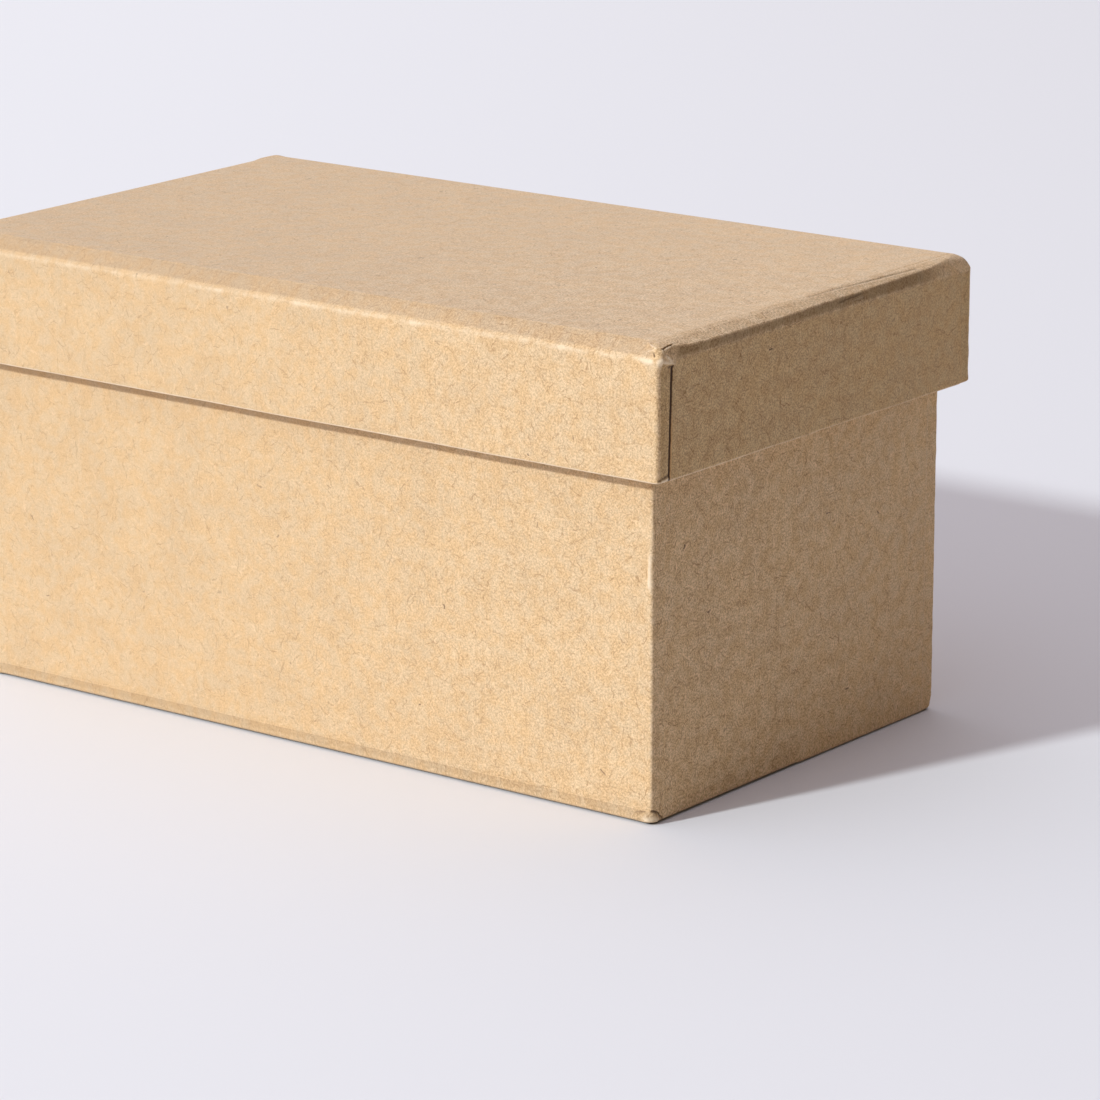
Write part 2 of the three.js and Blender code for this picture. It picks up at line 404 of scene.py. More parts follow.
# Gummed tape of the corner stays
tapeLook = {
    "color": (0.44, 0.255, 0.11, 1.0),
    "patchColor": (0.50, 0.30, 0.14, 1.0),
    "clouding": 0.08,
    "tooth": 0.14,
    "toothColor": (0.47, 0.29, 0.14),
    "darkFibres": 0.35,
    "darkColor": (0.22, 0.10, 0.035, 1.0),
    "lightFibres": 0.25,
    "lightColor": (0.62, 0.42, 0.22, 1.0),
    "specks": 0.6,
    "speckColor": (0.10, 0.05, 0.02, 1.0),
    "roughness": (0.45, 0.62),
    "bump": 0.02,
    "sheen": 0.05,
}


def boardStock(name, look):
    material, tree, shader = newMaterial(name)
    axes = addNode(tree, "ShaderNodeTexCoord", {}, {}).outputs
    inputs = {"Position": axes["Object"], "Normal": axes["Normal"]}
    color, found = fibrousColor(tree, placeGroup(tree, placeOnFace, inputs)["Place"], look)
    finishSurface(tree, shader, color, found, look)
    return material


kraftMaterial = kraftPaper()
chipboardMaterial = boardStock("chipboard", chipboardLook)
tapeMaterial = boardStock("gummedTape", tapeLook)
for name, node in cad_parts.items():
    if name.endswith("_board") or "_stay_" in name:
        node.data.materials.clear()
        node.data.materials.append(tapeMaterial if "_stay_" in name else chipboardMaterial)
print("paper, board and tape materials made")


# Steps along a length that start fine and grow
def spread(length, first, most, growth):
    marks = [0.0]
    step = first
    while length - marks[-1] > 1.5 * step:
        marks.append(marks[-1] + step)
        step = min(most, step * growth)
    return marks + [length]


# The same from both ends
def spreadBoth(length, first, most, growth):
    half = spread(length / 2, first, most, growth)
    return half + [length - mark for mark in half[-2::-1]]


# Cross-section of a cover, from the panel over bevel, wall and rim to the turned-in edge, as rows.
# A row has its way out from the wall's face, its height, its normal, its travel and its corner radius.
def sectionRows(form, tall, fine):
    leg, build, rimFold = form["bevelLeg"], form["wallBuild"], form["rimFold"]
    corners = [
        (-leg - form["panelMargin"], 0.0, 0.0),  # way out, height and fold radius
        (-leg, 0.0, form["panelFold"]),
        (0.0, leg, form["wallFold"]),
        (0.0, tall, rimFold),
        (-build, tall, rimFold),
        (-build, tall - form["turnIn"], 0.0),
    ]
    runSteps = form["runSteps"]
    points = np.array([corner[:2] for corner in corners])
    runs = np.diff(points, axis=0)
    lengths = np.hypot(*runs.T)
    ways = runs / lengths[:, None]
    turns = np.diff(np.unwrap(np.arctan2(ways[:, 1], ways[:, 0])))
    trims = [0.0] + [corner[2] * math.tan(turn / 2) for corner, turn in zip(corners[1:-1], turns)] + [0.0]
    rows, folds = [], []
    for k, (way, run) in enumerate(zip(ways, runSteps)):
        normal = np.array([way[1], -way[0]])
        straight = lengths[k] - trims[k] - trims[k + 1]
        stepped = spreadBoth if run == "wall" and form["fineRim"] else spread
        marks = stepped(straight, *runSteps[run]) if fine else [0.0, straight]
        rows += [(*(points[k] + way * (trims[k] + mark)), *normal) for mark in marks]
        if k < len(turns):
            radius = corners[k + 1][2]
            middle = points[k + 1] - way * trims[k + 1] - normal * radius
            count = form["foldSteps"] if fine else 2
            folds.append(len(rows) + count // 2 - 1)
            for part in range(1, count):
                angle = turns[k] * part / count
                swung = np.array([normal[0] * math.cos(angle) - normal[1] * math.sin(angle),
                                  normal[0] * math.sin(angle) + normal[1] * math.cos(angle)])
                rows.append((*(middle + swung * radius), *swung))
    rows = np.array(rows)
    travel = np.concatenate([[0.0], np.cumsum(np.hypot(*np.diff(rows[:, :2], axis=0).T))])
    travel -= travel[folds[0]]
    inward = -rows[:, 0]
    radius = np.where(
        travel < travel[folds[2]],  # before the rim
        np.interp(inward, [0.0, leg], [form["wallCorner"], form["panelCorner"]]),
        np.interp(inward, [0.0, build], [form["wallCorner"], form["insideCorner"]]),
    )
    return {"out": rows[:, 0], "height": rows[:, 1], "normalOut": rows[:, 2], "normalUp": rows[:, 3],
            "travel": travel, "radius": radius, "folds": [travel[k] for k in folds]}


quarterTurns = [(1, -1, -90), (1, 1, 0), (-1, 1, 90), (-1, -1, 180)]  # a tray's corners, anticlockwise


# Columns round a tray: an arc at each corner, then the side that follows it.
# side is -1 on the long sides, 0 on the corner arcs and 1 on the ends; offset is the way from the arc.
def trayColumns(form, halfX, halfY):
    radius = form["wallCorner"]
    seam = form["earShown"] - radius
    longSteps = spread(halfX - radius, *form["longSteps"])
    endSteps = spread(halfY - radius, *form["endSteps"])
    gap, clear = form["seamGap"], form["seamClear"]
    seamMarks = [seam + mark for mark in (-gap - 0.06, -gap, -0.015, 0.015, 0.1)]  # both lips of the seam
    low, high = seamMarks[0] - clear, seamMarks[-1] + clear
    endSteps = sorted([mark for mark in endSteps if not low < mark < high] + seamMarks)
    columns, sides, arcs = [], [], []
    for k, (sideX, sideY, start) in enumerate(quarterTurns):
        nextX, nextY, _ = quarterTurns[(k + 1) % 4]
        arcs.append(len(columns))
        for part in range(form["arcSteps"] + 1):
            columns.append((sideX, sideY, start + 90 * part / form["arcSteps"], 0, 0.0))
        first = len(columns) - 1
        side, steps = (1, endSteps) if k % 2 == 0 else (-1, longSteps)
        columns += [(sideX, sideY, start + 90, side, offset) for offset in steps[1:]]
        columns += [(nextX, nextY, start + 90, side, offset) for offset in steps[-2:0:-1]]
        sides.append(list(range(first, len(columns) + 1)))
    sides[3][-1] = 0
    table = np.array(columns, float)
    angle = np.radians(table[:, 2])
    return {"sideX": table[:, 0], "sideY": table[:, 1], "cos": np.cos(angle), "sin": np.sin(angle),
            "side": table[:, 3], "offset": table[:, 4], "sides": sides, "arcs": arcs, "seam": seam}


def bell(value, width):
    return np.exp(-(value / width) ** 2)


def smooth(value, low, high):
    part = np.clip((value - low) / (high - low), 0.0, 1.0)
    return part * part * (3 - 2 * part)


def noiseField(first, second, scale, seed):
    flat = zip(first.ravel() * scale, second.ravel() * scale)
    return np.array([noise.noise(Vector((u, v, seed))) for u, v in flat]).reshape(first.shape)


# Noise along a line, another one at each corner of the tray
def cornerNoise(sheet, line, shiftX, shiftY, scale, seed):
    return noiseField(line, shiftX * sheet.sideX + shiftY * sheet.sideY + 0 * line, scale, seed)


# Start and end give the way along from the corner's middle and the way down from the panel's or rim's fold.
# A positive height is a ridge, a negative one a valley. Paint is the share that shows as wear with a painted
# highlight on a ridge and as painted shade in a valley, and a crease with a taper of 1 rises from nothing at
# its start.
def crease(start, end, height, width, paint=1.0, taper=0.0):
    return SimpleNamespace(start=start, end=end, height=height, width=width, paint=paint, taper=taper)


# Lift of the paper along creases
def creaseLift(across, down, creases):
    lift = np.zeros_like(across + down)
    paint = np.zeros_like(lift)
    for fold in creases:
        (a0, b0), (a1, b1) = fold.start, fold.end
        runA, runB = a1 - a0, b1 - b0
        length = max(runA * runA + runB * runB, 1e-9)
        part = np.clip(((across - a0) * runA + (down - b0) * runB) / length, 0.0, 1.0)
        away = np.hypot(across - a0 - part * runA, down - b0 - part * runB)
        ramp = 1.0 - fold.taper * (1.0 - part)
        rise = fold.height * ramp * smooth(1.0 - away / fold.width, 0.0, 1.0)
        lift += rise
        paint += rise * fold.paint
    return lift, paint


# Near a corner the panel's edge flares out over the bevel, up to a ridge that follows the profile
def cornerFlare(across, down, profile, slope, wallFold):
    ridge = np.interp(across, *zip(*profile), left=0.0)
    rise = np.minimum(down, ridge)
    fall = 1.0 - np.clip((down - ridge) / np.maximum(wallFold - ridge, 0.3), 0.0, 1.0)
    return np.where(down > 0, slope * rise * fall, 0.0), ridge


# Swell that makes the flat bevel a rounder edge: near a square one at roundness 0.2, a full round at 0.8
def edgeSwell(down, wallFold, roundness):
    part = np.clip(2 * down / wallFold - 1, -1.0, 1.0)
    return 0.5 * wallFold * (math.hypot(1, roundness) - np.hypot(part, roundness))


# Places and normals of a section's rows all round the tray, on the undisturbed form
def placeRows(form, sheet, rows):
    reach, offset = form["cornerReach"], sheet.offset

    def offsetAlong(kind, half, middle):
        far = reach + (offset - reach) * (middle - reach) / (half - form["wallCorner"] - reach)
        return np.where(sheet.side == kind, np.where(offset <= reach, offset + 0 * middle, far), 0.0)

    radius = rows["radius"][:, None]
    middleX = (sheet.halfX + rows["out"] - rows["radius"])[:, None]
    middleY = (sheet.halfY + rows["out"] - rows["radius"])[:, None]
    x = sheet.sideX * (middleX - offsetAlong(-1, sheet.halfX, middleX)) + radius * sheet.cos
    y = sheet.sideY * (middleY - offsetAlong(1, sheet.halfY, middleY)) + radius * sheet.sin
    z = rows["height"][:, None] + 0 * x
    out, up = rows["normalOut"][:, None], rows["normalUp"][:, None]
    normal = np.stack([out * sheet.cos, out * sheet.sin, up + 0 * x], -1)
    return np.stack([x, y, z], -1), normal


# Columns and rows of a cover, where each point of its outer skin lies and what it belongs to.
# down is the way from the panel's fold, along the way from the corner's middle, towards the end.
def layOutSheet(form, halfX, halfY, tall):
    sheet = SimpleNamespace(halfX=halfX, halfY=halfY, **trayColumns(form, halfX, halfY))
    sheet.outer = sectionRows(form, tall, True)
    sheet.inner = sectionRows(form, tall, False)
    _, wallFold, rimFold, rimInner = sheet.outer["folds"]
    sheet.wallFold, sheet.rimFold, sheet.rimInner = wallFold, rimFold, rimInner
    sheet.panelX, sheet.panelY = halfX - form["bevelLeg"], halfY - form["bevelLeg"]
    sheet.shape, sheet.normal = placeRows(form, sheet, sheet.outer)
    side, offset, radius = sheet.side, sheet.offset, form["wallCorner"]
    sheet.endness = np.arctan2(np.abs(sheet.cos), np.abs(sheet.sin))
    onArc = radius * (sheet.endness - math.pi / 4)
    down = sheet.outer["travel"][:, None] + 0 * sheet.shape[..., 0]
    sheet.along = np.where(side == 0, onArc, side * (offset + radius * math.pi / 4))[None, :] + 0 * down
    sheet.onWall = smooth(down, wallFold, wallFold + 0.4) * (1 - smooth(down, rimFold - 0.3, rimFold))
    sheet.onTail = smooth(down, rimInner, rimInner + 0.4)
    sheet.onEnd = np.abs(sheet.cos)[None, :] > 0.999
    # Sheet coordinates for the long flaps with their ears, and for the end flaps
    roundCorner = np.where(side == 0, radius * sheet.endness, radius * math.pi / 2 + offset)
    roundCorner = (halfX - radius) + roundCorner
    sheet.longU = np.where(side == -1, sheet.shape[..., 0], sheet.sideX * roundCorner)
    sheet.longV = sheet.sideY * (sheet.panelY + down)
    sheet.endU = sheet.sideX * (sheet.panelX + down)
    sheet.endV = sheet.shape[..., 1]  # a view, which follows the shape
    sheet.down = down
    sheet.lift = np.zeros_like(down)
    return sheet


# The end flap's cut edge stands over the ear, which lies one sheet lower, and the seam wanders
def openSeams(form, sheet):
    side, offset, seam, down = sheet.side, sheet.offset, sheet.seam, sheet.down
    sheet.capLine = sheet.wallFold + form["capReach"] * np.clip(sheet.along / form["earShown"], 0.0, 1.0)
    onArc = np.where(side == 0, smooth(sheet.endness, *form["earArc"]), 0.0)
    ear = np.where(side == 1, (offset < seam).astype(float), onArc)
    earEnd = 1 - smooth(down - sheet.rimInner, *form["earEnd"])
    sheet.ear = ear[None, :] * (down > sheet.capLine - 0.02) * earEnd
    inGap = (side == 1) & (offset > seam - form["seamGap"] - 0.02) & (offset < seam)
    sheet.gap = inGap[None, :] * sheet.ear
    sheet.step = form["earStep"] * sheet.ear + form["gapDepth"] * sheet.gap
    sheet.shape[..., 0] -= sheet.sideX * sheet.step
    curl = np.exp(-np.maximum(offset - seam, 0.0) / form["curlReach"])
    sheet.lift += form["flapCurl"] * ((side == 1) & (offset > seam))[None, :] * curl * sheet.onWall
    sway = np.interp(offset, [0.0, seam, seam + form["swayReach"]], [0.0, 1.0, 0.0]) * (side == 1)
    part = np.clip((down - sheet.wallFold) / (sheet.rimFold - sheet.wallFold), 0.0, 1.0)
    lean = form["seamLean"] * (1 - 2 * part)
    lean += form["seamWander"] * cornerNoise(sheet, down, 11, 22, form["wanderScale"], form["seed"] + 7)
    sheet.shape[..., 1] -= sheet.sideY * sway * lean


# Soft unevenness of the glued sheet, and the base's foot: nearly square, with a band above a narrow roll
def pressSheet(form, sheet):
    down, wallFold, seed = sheet.down, sheet.wallFold, form["seed"]
    uneven = noiseField(sheet.longU + sheet.endU, sheet.longV - sheet.endV, form["cockleScale"], seed)
    sheet.lift += form["cockle"] * uneven * np.maximum(sheet.onWall, sheet.onTail)
    corner = bell(sheet.along, form["wobbleWidth"]) * sheet.onWall
    wobble = form["cornerWobble"] * cornerNoise(sheet, down, 20, 40, form["wobbleScale"], seed + 4)
    sheet.lift += wobble * corner
    sheet.lift += form["footSwell"] * edgeSwell(down, wallFold, form["footRound"])
    height = down / wallFold
    band = smooth(0.98 - height, 0.0, 0.07) * (0.25 + 0.75 * smooth(height, 0.62, 0.74))
    sheet.footBand = band * np.abs(sheet.sin)
    sheet.lift += form["footRoll"] * bell(down - 0.6 * wallFold, 0.25) - form["footDent"] * sheet.footBand


# Rounding, flare and creases of each corner
def wearCorners(form, sheet):
    down, along, wander, seed = sheet.down, sheet.along, form["creaseWander"], form["seed"]
    sheet.painted = np.zeros_like(down)
    sheet.ridges = np.zeros_like(down)
    sheet.underShare = np.zeros_like(down)
    sheet.seamShare = np.zeros_like(sheet.offset)
    creaseAlong = along + wander * noiseField(along, down, form["creaseScale"], seed + 5)
    creaseDown = down + wander * noiseField(along, down, form["creaseScale"], seed + 6)
    rng = random.Random(seed)
    for cornerX, cornerY, _ in quarterTurns:
        here = ((sheet.sideX == cornerX) & (sheet.sideY == cornerY))[None, :]
        name = "Back" if cornerY * form["turnedOver"] > 0 else "Front"
        name += "Right" if cornerX > 0 else "Left"
        spot = form["corners"].get(name) or looseCorner(rng, form)
        rounding = np.interp(along, *zip(*spot["round"]))
        sheet.lift += here * rounding * edgeSwell(down, sheet.wallFold, form["endRound"])
        flare, ridge = cornerFlare(along, down, spot["flare"], form["flareSlope"], sheet.wallFold)
        sheet.lift += here * flare
        sheet.ridges += here * ridge
        sheet.underShare += here * smooth(along, *spot.get("underFrom", form["underFrom"]))
        for start, creases in ((0.0, spot["creases"]), (sheet.rimFold, spot.get("rimCreases", []))):
            rise, paint = creaseLift(creaseAlong, creaseDown - start, creases)
            sheet.lift += here * rise
            sheet.painted += here * paint
        sheet.seamShare += here[0] * form["seamDark"] * spot.get("seamShare", 1.0)


# A corner with loose creases of its own, where the form names none
def looseCorner(rng, form):
    deep = form["looseCreases"]
    ridgeA, ridgeB = rng.uniform(1.2, 2.6), rng.uniform(1.6, 4.5)
    top = rng.uniform(1.1, 1.5)
    creases = [
        crease((-ridgeA - 1.5, rng.uniform(1.5, 2.0)), (-0.6, rng.uniform(1.3, 1.7)), 0.06 * deep, 0.2),
        crease((0.4, rng.uniform(1.4, 1.7)), (rng.uniform(1.6, 2.6), rng.uniform(1.0, 1.5)),
               -0.12 * deep, 0.22),
        crease((0.3, 1.95), (rng.uniform(1.8, 2.4), 3.0), 0.1 * deep, 0.24),
        crease((-rng.uniform(1.8, 3.4), 2.7), (-0.8, 2.9), 0.1 * deep, 0.6),
    ]
    flare = [(-ridgeA - 0.3, 0.0), (-ridgeA, 0.3 * deep), (-0.1, top * deep), (0.4, top * deep),
             (ridgeB, 0.8 * deep), (ridgeB + 2.5, 0.0)]
    rounding = [(-2.5, 0.0), (-0.8, 0.3), (0.0, 0.5), (3.0, 0.6), (12.0, 0.5), (30.0, 0.35)]
    return {"flare": flare, "round": [(a, share * deep) for a, share in rounding], "creases": creases}


# Moves the outer skin by its lift, with a rim that isn't quite straight
def raiseSheet(form, sheet):
    down, reach = sheet.down, form["waveReach"]
    wave = form["rimWave"] * cornerNoise(sheet, sheet.along, 9, 5, form["waveScale"], form["seed"] + 9)
    nearRim = smooth(down, sheet.rimFold - reach, sheet.rimFold)
    nearRim = nearRim * (1 - smooth(down, sheet.rimInner, sheet.rimInner + reach))
    sheet.shape[..., 2] += wave * nearRim
    lift = np.maximum(sheet.lift, sheet.step + form["skinGap"] - form["thickness"])  # outside the inner skin
    sheet.shape += sheet.normal * lift[..., None]
    sheet.shape[..., 2] = np.maximum(sheet.shape[..., 2], 0.0)


# Wear, painted highlight, painted shade and bevel tint that both covers share, in millimetres and shares
markMake = {
    "rimWidth": 0.17,
    "rimWidthOnEnds": 0.13,  # added there
    "rimLessOnEnds": 0.35,
    "rimBackToFront": [(-1, 0.25), (-0.2, 0.4), (0.5, 1)],
    "foldWidth": 0.55,
    "cornerWidth": 0.45,
    "ridgeFull": 0.14,  # painted lift that shows in full
    "ridgeWearAndHighlight": 0.85,
    "valleyFull": 0.2,
    "valleyShade": 0.8,
    "bevelDarkFrom": (-0.5, 0.3),
    "bevelDarkTo": (0.9, 0.25),  # before the wall's fold
    "earFade": (0.8, 2.2),
    "raggedness": 0.3,
    "cutWidth": 0.12,
    "cutShare": 0.7,
    "capWear": 0.35,
    "panelGrain": 0.6,
    "grainSpan": (8.0, 95.0),  # from the front right corner
}


# Wear with painted highlight, a darker bevel tint, painted shade, bare edges and coarseness of the outer
# skin's points
def paperMarks(form, sheet):
    down, along, onEnd, onWall, seed = sheet.down, sheet.along, sheet.onEnd, sheet.onWall, form["seed"]
    wallFold, rimFold, painted, ridges = sheet.wallFold, sheet.rimFold, sheet.painted, sheet.ridges
    frontness = -form["turnedOver"] * sheet.shape[..., 1] / sheet.halfY
    rimWidth = markMake["rimWidth"] + markMake["rimWidthOnEnds"] * onEnd
    wear = form["rimWear"] * bell(down - rimFold + 0.05, rimWidth) * (1 - markMake["rimLessOnEnds"] * onEnd)
    wear = wear * np.interp(frontness, *zip(*markMake["rimBackToFront"]))
    patchy = 0.8 + 0.7 * cornerNoise(sheet, along, 6, 13, 0.3, seed + 3)
    # Painted highlight and wear along the lid's front lower fold
    wear += form["foldWear"] * patchy * bell(down - wallFold - 0.1, markMake["foldWidth"]) * (1 - onEnd)
    wear += form["cornerWear"] * bell(along, markMake["cornerWidth"]) * onWall
    wear += np.clip(painted / markMake["ridgeFull"], 0.0, 1.0) * markMake["ridgeWearAndHighlight"]
    onEar = ((sheet.side == 1) & (sheet.offset < sheet.seam))[None, :]
    wear += markMake["capWear"] * sheet.seamShare * bell(down - sheet.capLine + 0.12, 0.13) * onEar

    # A darker grey tint over the lid's top bevel, from the panel's edge to just before the wall's fold
    bevelDarkEnd, bevelDarkLast = [wallFold - before for before in markMake["bevelDarkTo"]]
    bevelDarker = form["bevelRub"] * smooth(down, *markMake["bevelDarkFrom"]) * (1 - smooth(down, bevelDarkEnd, bevelDarkLast))
    bevelDarker = bevelDarker * np.abs(sheet.sin) * smooth(-along, 0.0, 1.0)

    # The bevel's lower part on the ends lies under the flare and gets painted shade
    ragged = wallFold + markMake["raggedness"] * cornerNoise(sheet, along, 7, 3, 0.7, seed + 2)
    under = smooth(down, ridges + 0.02, ridges + 0.2) * (1 - smooth(down, ragged - 0.3, ragged + 0.6))
    under = under * onEnd * sheet.underShare * smooth(ridges, 0.3, 1.0)
    # Painted shade on the lid's end walls and on the ear beside the corner
    paintedEndShade = form["endShade"] * onEnd * onWall
    paintedEndShade += form["earShade"] * sheet.ear * (1 - smooth(along, *markMake["earFade"])) * onWall
    paintedEndShade = np.maximum(paintedEndShade, under)

    # Painted shade: near black in crease valleys and the seam's gap, lighter under the flare and on the
    # foot's band, and a painted contact shadow along the foot
    creaseShade = np.clip(-painted / markMake["valleyFull"], 0.0, 1.0) * markMake["valleyShade"]
    paintedDeepShade = np.maximum(sheet.seamShare * sheet.gap, creaseShade)
    paintedDeepShade += form["undercutDark"] * under + form["footShade"] * sheet.footBand
    paintedDeepShade = np.clip(paintedDeepShade + form["footDark"] * bell(down - 0.4 * wallFold, 0.28), 0.0, 1.0)

    pastSeam = sheet.offset - sheet.seam
    edge = ((sheet.side == 1) & (pastSeam > 0) & (pastSeam < markMake["cutWidth"]))[None, :]
    edge = edge * (down > sheet.capLine) * (down < rimFold)
    cut = markMake["cutShare"] * sheet.seamShare * smooth(down, 0.45 * rimFold, 0.65 * rimFold) * edge
    coarse = np.where(down < 0.0, markMake["panelGrain"], np.abs(sheet.cos)[None, :])
    return {"wear": wear, "bevelDarker": bevelDarker, "paintedEndShade": paintedEndShade, "paintedDeepShade": paintedDeepShade, "cutEdge": cut, "coarse": coarse}


def addFaces(net, faces, flat):
    net.faces.extend(faces.tolist())
    net.places.append(flat[faces].reshape(-1, 2))


def addPoints(net, points):
    first = sum(len(block) for block in net.verts)
    net.verts.append(points.reshape(-1, 3))
    return first + np.arange(points.size // 3).reshape(points.shape[:2])


# One skin all round the tray, laid out as long flaps with their ears and as end flaps
def addSkin(net, form, sheet, rows, surface, layout, flip):
    index = addPoints(net, surface)
    ahead = np.roll(index, -1, axis=1)
    quads = np.stack([index[:-1], ahead[:-1], ahead[1:], index[1:]], -1)
    quads = quads[..., [0, 3, 2, 1]] if flip else quads
    offEnd = sheet.side != 1
    onEar = (sheet.side == 0) | ((sheet.side == 1) & (sheet.offset < sheet.seam))
    belowCap = rows["travel"][:-1] >= sheet.wallFold + form["capReach"] - 0.1
    isLong = (onEar & np.roll(onEar, -1))[None, :] & belowCap[:, None]
    isLong |= (offEnd & np.roll(offEnd, -1))[None, :]
    for (u, v), used in zip(layout, (isLong, ~isLong)):
        flat = np.zeros((index.flat[-1] + 1, 2))
        flat[index.ravel()] = np.stack([u, v], -1).reshape(-1, 2)
        addFaces(net, quads[used], flat)
    return index


# The flat panel inside a skin's first row: a grid, a strip along each side and a fan at each corner
def addPanel(net, form, sheet, index, surface, height, flip):
    right, back, left, front = sheet.sides
    turn = -1 if flip else 1
    gridX, gridY = np.meshgrid(surface[0, front, 0], surface[0, right, 1], indexing="ij")
    grid = addPoints(net, np.stack([gridX, gridY, np.full_like(gridX, height)], -1))
    flat = np.concatenate(net.verts)[:, :2]
    ring = index[0]
    rim = [ring[front], ring[right], ring[back[::-1]], ring[left[::-1]]]
    strips = [np.stack([rim[0][:-1], grid[:-1, 0], grid[1:, 0], rim[0][1:]], -1),
              np.stack([grid[-1, :-1], grid[-1, 1:], rim[1][1:], rim[1][:-1]], -1),
              np.stack([grid[:-1, -1], rim[2][:-1], rim[2][1:], grid[1:, -1]], -1),
              np.stack([rim[3][:-1], rim[3][1:], grid[0, 1:], grid[0, :-1]], -1),
              np.stack([grid[:-1, :-1], grid[:-1, 1:], grid[1:, 1:], grid[1:, :-1]], -1).reshape(-1, 4)]
    addFaces(net, np.concatenate(strips)[:, ::turn], flat)
    hubs = [grid[-1, 0], grid[-1, -1], grid[0, -1], grid[0, 0]]
    for hub, start in zip(hubs, sheet.arcs):
        arc = ring[start:start + form["arcSteps"] + 1]
        fan = np.stack([np.full(len(arc) - 1, hub), arc[1:], arc[:-1]], -1)
        addFaces(net, fan[:, ::turn], flat)


# The cover of one half as a closed sheet of paper, panel down: an outer skin, an inner one and the cut edge
def paperSheet(form, halfX, halfY, tall):
    sheet = layOutSheet(form, halfX, halfY, tall)
    for work in (openSeams, pressSheet, wearCorners, raiseSheet):
        work(form, sheet)
    net = SimpleNamespace(verts=[], faces=[], places=[])
    layout = ((sheet.longU, sheet.longV), (sheet.endU, sheet.endV))
    outerIndex = addSkin(net, form, sheet, sheet.outer, sheet.shape, layout, False)
    addPanel(net, form, sheet, outerIndex, sheet.shape, 0.0, False)
    inside, normal = placeRows(form, sheet, sheet.inner)
    inside = inside - normal * form["thickness"]
    down = sheet.inner["travel"][:, None] + 0 * inside[..., 0]
    layout = ((inside[..., 0], sheet.sideY * (sheet.panelY + down)),
              (sheet.sideX * (sheet.panelX + down), inside[..., 1]))
    innerIndex = addSkin(net, form, sheet, sheet.inner, inside, layout, True)
    addPanel(net, form, sheet, innerIndex, inside, form["thickness"], True)
    verts = np.concatenate(net.verts)
    last, lastIn = outerIndex[-1], innerIndex[-1]
    closing = np.stack([last, np.roll(last, -1), np.roll(lastIn, -1), lastIn], -1)
    addFaces(net, closing, verts[:, [0, 2]])
    marks = {}
    for key, mark in paperMarks(form, sheet).items():
        rest = markMake["panelGrain"] if key == "coarse" else 0.0
        marks[key] = np.concatenate([mark.ravel(), np.full(len(verts) - mark.size, rest)])
    # The paper's grain is strongest at the front right corner
    away = np.hypot(halfX - verts[:, 0], halfY + form["turnedOver"] * verts[:, 1])
    marks["coarse"] += form["nearGrain"] - form["grainFade"] * smooth(away, *markMake["grainSpan"])
    return verts, net.faces, np.concatenate(net.places), marks


def makePaper(name, node, body, form):
    low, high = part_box(node)
    halfX, halfY = high.x / mm, high.y / mm
    tall = (high.z - low.z) / mm
    verts, faces, places, marks = paperSheet(form, halfX, halfY, tall)
    if form["turnedOver"] < 0:
        verts = verts * (1, -1, -1) + (0, 0, high.z / mm)
    else:
        verts = verts + (0, 0, low.z / mm)
    mesh = bpy.data.meshes.new(name)
    mesh.from_pydata((verts * mm).tolist(), [], faces)
    layer = mesh.uv_layers.new(name="sheetPlace")
    layer.data.foreach_set("uv", places.astype(np.float32).ravel())
    for key, value in marks.items():
        mesh.attributes.new(key, "FLOAT", "POINT").data.foreach_set("value", value.astype(np.float32))
    mesh.polygons.foreach_set("use_smooth", np.ones(len(faces), bool))
    mesh.set_sharp_from_angle(angle=math.radians(form["sharpAngle"]))
    mesh.materials.append(kraftMaterial)
    piece = bpy.data.objects.new(name, mesh)
    bpy.context.scene.collection.objects.link(piece)
    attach(piece, body)
    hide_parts(node)
    print(f"{name}: {len(verts)} points, {len(faces)} faces")


